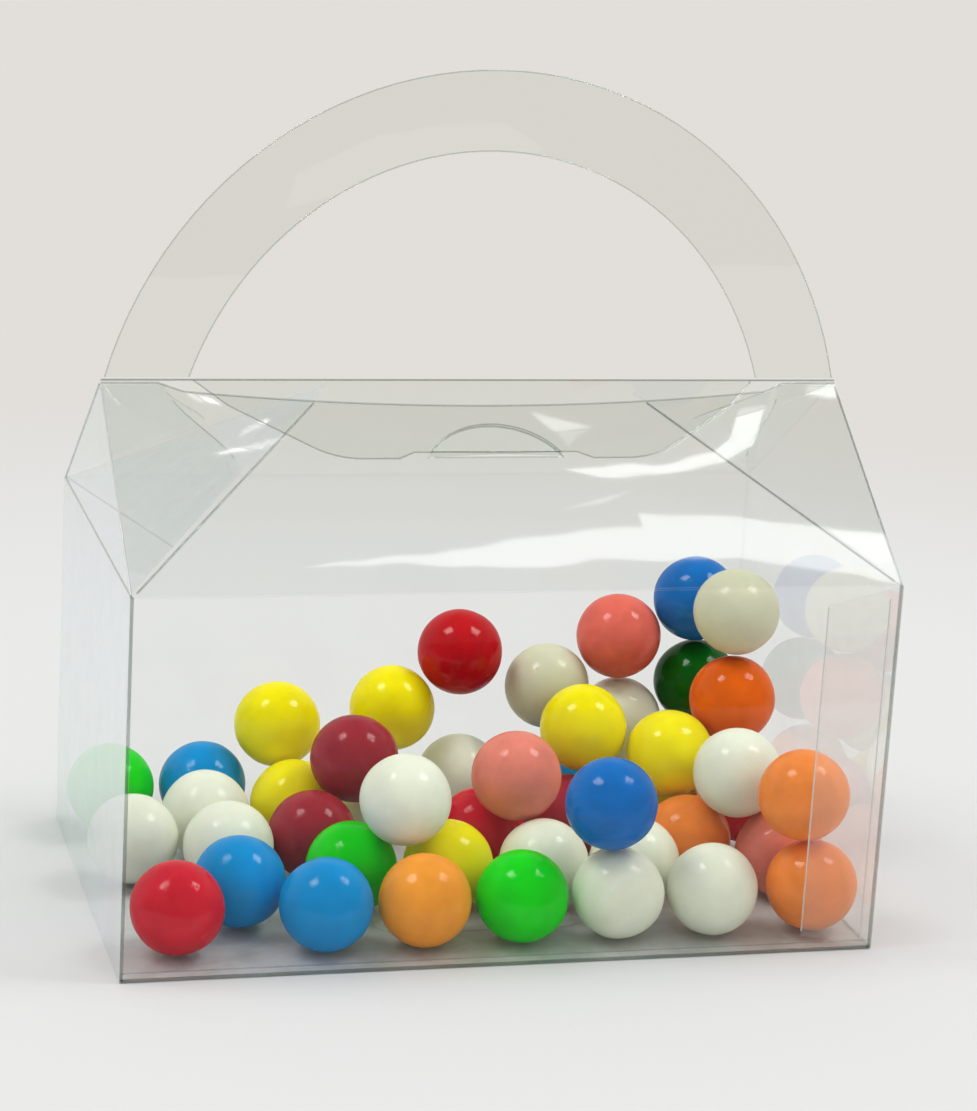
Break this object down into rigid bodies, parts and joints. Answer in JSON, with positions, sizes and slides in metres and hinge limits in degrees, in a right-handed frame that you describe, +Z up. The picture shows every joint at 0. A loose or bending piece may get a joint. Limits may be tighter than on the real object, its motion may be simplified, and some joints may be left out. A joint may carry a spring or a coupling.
{
  "type": "gable favour box",
  "caption": "Clear folded-plastic gable box with gusseted ends, tucked closure flap and arched carry handle, holding loose round gumballs.",
  "frame": {"origin": "centre of the base, on the plane it rests on", "axes": "X along the box's width, -Y out of the front wall with the closure flap over its roof, +Z up"},
  "size_m": [0.2032, 0.1238, 0.2265],
  "materials": {
    "clear_sheet": "clear, glossy",
    "white_candy": "glossy candy shell",
    "red_candy": "glossy candy shell",
    "maroon_candy": "glossy candy shell",
    "pink_candy": "glossy candy shell",
    "orange_candy": "glossy candy shell",
    "peach_candy": "glossy candy shell",
    "yellow_candy": "glossy candy shell",
    "green_candy": "glossy candy shell",
    "blue_candy": "glossy candy shell"
  },
  "bodies": {
    "box": {"front_wall": "clear_sheet", "back_wall": "clear_sheet", "left_wall": "clear_sheet", "right_wall": "clear_sheet", "glue_flap": "clear_sheet", "outer_bottom_flap": "clear_sheet", "inner_bottom_flap": "clear_sheet", "left_bottom_flap": "clear_sheet", "right_bottom_flap": "clear_sheet", "bottom_white_gumballs": "white_candy", "red_gumball_1": "red_candy", "blue_gumball_1": "blue_candy", "blue_gumball_2": "blue_candy", "peach_gumball_1": "peach_candy", "green_gumball_1": "green_candy", "orange_gumball_1": "orange_candy", "green_gumball_2": "green_candy", "yellow_gumball_1": "yellow_candy", "orange_gumball_2": "orange_candy", "pink_gumball_1": "pink_candy", "maroon_gumball_1": "maroon_candy", "red_gumball_2": "red_candy", "maroon_gumball_2": "maroon_candy", "yellow_gumball_2": "yellow_candy", "yellow_gumball_3": "yellow_candy", "red_gumball_3": "red_candy", "green_gumball_3": "green_candy", "blue_gumball_3": "blue_candy", "blue_gumball_4": "blue_candy", "orange_gumball_3": "orange_candy", "yellow_gumball_4": "yellow_candy", "maroon_gumball_3": "maroon_candy", "white_gumball_1": "white_candy", "yellow_gumball_5": "yellow_candy", "pink_gumball_2": "pink_candy", "blue_gumball_5": "blue_candy", "white_gumball_2": "white_candy", "white_gumball_3": "white_candy", "yellow_gumball_6": "yellow_candy", "yellow_gumball_7": "yellow_candy", "white_gumball_4": "white_candy", "orange_gumball_4": "orange_candy", "red_gumball_4": "red_candy", "green_gumball_4": "green_candy", "pink_gumball_3": "pink_candy", "orange_gumball_5": "orange_candy", "white_gumball_5": "white_candy", "blue_gumball_6": "blue_candy"},
    "front_roof": {"front_roof": "clear_sheet"},
    "back_roof": {"back_roof": "clear_sheet"},
    "left_gusset_panel": {"left_gusset_panel": "clear_sheet"},
    "right_gusset_panel": {"right_gusset_panel": "clear_sheet"},
    "left_front_flank": {"left_front_flank": "clear_sheet"},
    "right_front_flank": {"right_front_flank": "clear_sheet"},
    "left_back_flank": {"left_back_flank": "clear_sheet"},
    "right_back_flank": {"right_back_flank": "clear_sheet"},
    "handle": {"handle": "clear_sheet"},
    "closure_flap": {"closure_flap": "clear_sheet"},
    "lock_tab": {"lock_tab": "clear_sheet"}
  },
  "joints": [
    {"name": "gable_open", "type": "hinge", "parent": "box", "child": "front_roof", "pos_m": [0, -0.06175, 0.1016], "axis": [1, 0, 0], "range_deg": [0, 46.5]},
    {"name": "back_roof_open", "type": "hinge", "parent": "box", "child": "back_roof", "pos_m": [0, 0.06175, 0.1016], "axis": [-1, 0, 0], "range_deg": [0, 46.5]},
    {"name": "left_gusset_open", "type": "hinge", "parent": "box", "child": "left_gusset_panel", "pos_m": [-0.10145, 0, 0.1016], "axis": [0, -1, 0], "range_deg": [0, 27]},
    {"name": "right_gusset_open", "type": "hinge", "parent": "box", "child": "right_gusset_panel", "pos_m": [0.10145, 0, 0.1016], "axis": [0, 1, 0], "range_deg": [0, 27]},
    {"name": "left_front_flank_unfold", "type": "hinge", "parent": "front_roof", "child": "left_front_flank", "pos_m": [-0.1013, -0.06158, 0.10135], "axis": [0, 0.8331, 0.5531], "range_deg": [0, 53.8]},
    {"name": "right_front_flank_unfold", "type": "hinge", "parent": "front_roof", "child": "right_front_flank", "pos_m": [0.1013, -0.06158, 0.10135], "axis": [0, -0.8331, -0.5531], "range_deg": [0, 53.8]},
    {"name": "left_back_flank_unfold", "type": "hinge", "parent": "back_roof", "child": "left_back_flank", "pos_m": [-0.1013, 0.06158, 0.10135], "axis": [0, 0.8331, -0.5531], "range_deg": [0, 53.8]},
    {"name": "right_back_flank_unfold", "type": "hinge", "parent": "back_roof", "child": "right_back_flank", "pos_m": [0.1013, 0.06158, 0.10135], "axis": [0, -0.8331, 0.5531], "range_deg": [0, 53.8]},
    {"name": "closure_flap_open", "type": "hinge", "parent": "back_roof", "child": "closure_flap", "pos_m": [0, -0.00054, 0.14296], "axis": [-1, 0, 0], "range_deg": [0, 153.9]},
    {"name": "handle_fold", "type": "hinge", "parent": "back_roof", "child": "handle", "pos_m": [0, -0.00054, 0.14296], "axis": [1, 0, 0], "range_deg": [-100, 110]},
    {"name": "lock_tab_lift", "type": "hinge", "parent": "front_roof", "child": "lock_tab", "pos_m": [0, -0.02316, 0.12722], "axis": [1, 0, 0], "range_deg": [0, 60]}
  ],
  "couplings": [
    {"joint": "back_roof_open", "follows": "gable_open", "ratio": 1},
    {"joint": "left_gusset_open", "follows": "gable_open", "ratio": 0.575},
    {"joint": "right_gusset_open", "follows": "gable_open", "ratio": 0.575},
    {"joint": "left_front_flank_unfold", "follows": "gable_open", "ratio": 1.15},
    {"joint": "right_front_flank_unfold", "follows": "gable_open", "ratio": 1.15},
    {"joint": "left_back_flank_unfold", "follows": "gable_open", "ratio": 1.15},
    {"joint": "right_back_flank_unfold", "follows": "gable_open", "ratio": 1.15},
    {"joint": "closure_flap_open", "follows": "gable_open", "ratio": 3.3}
  ]
}
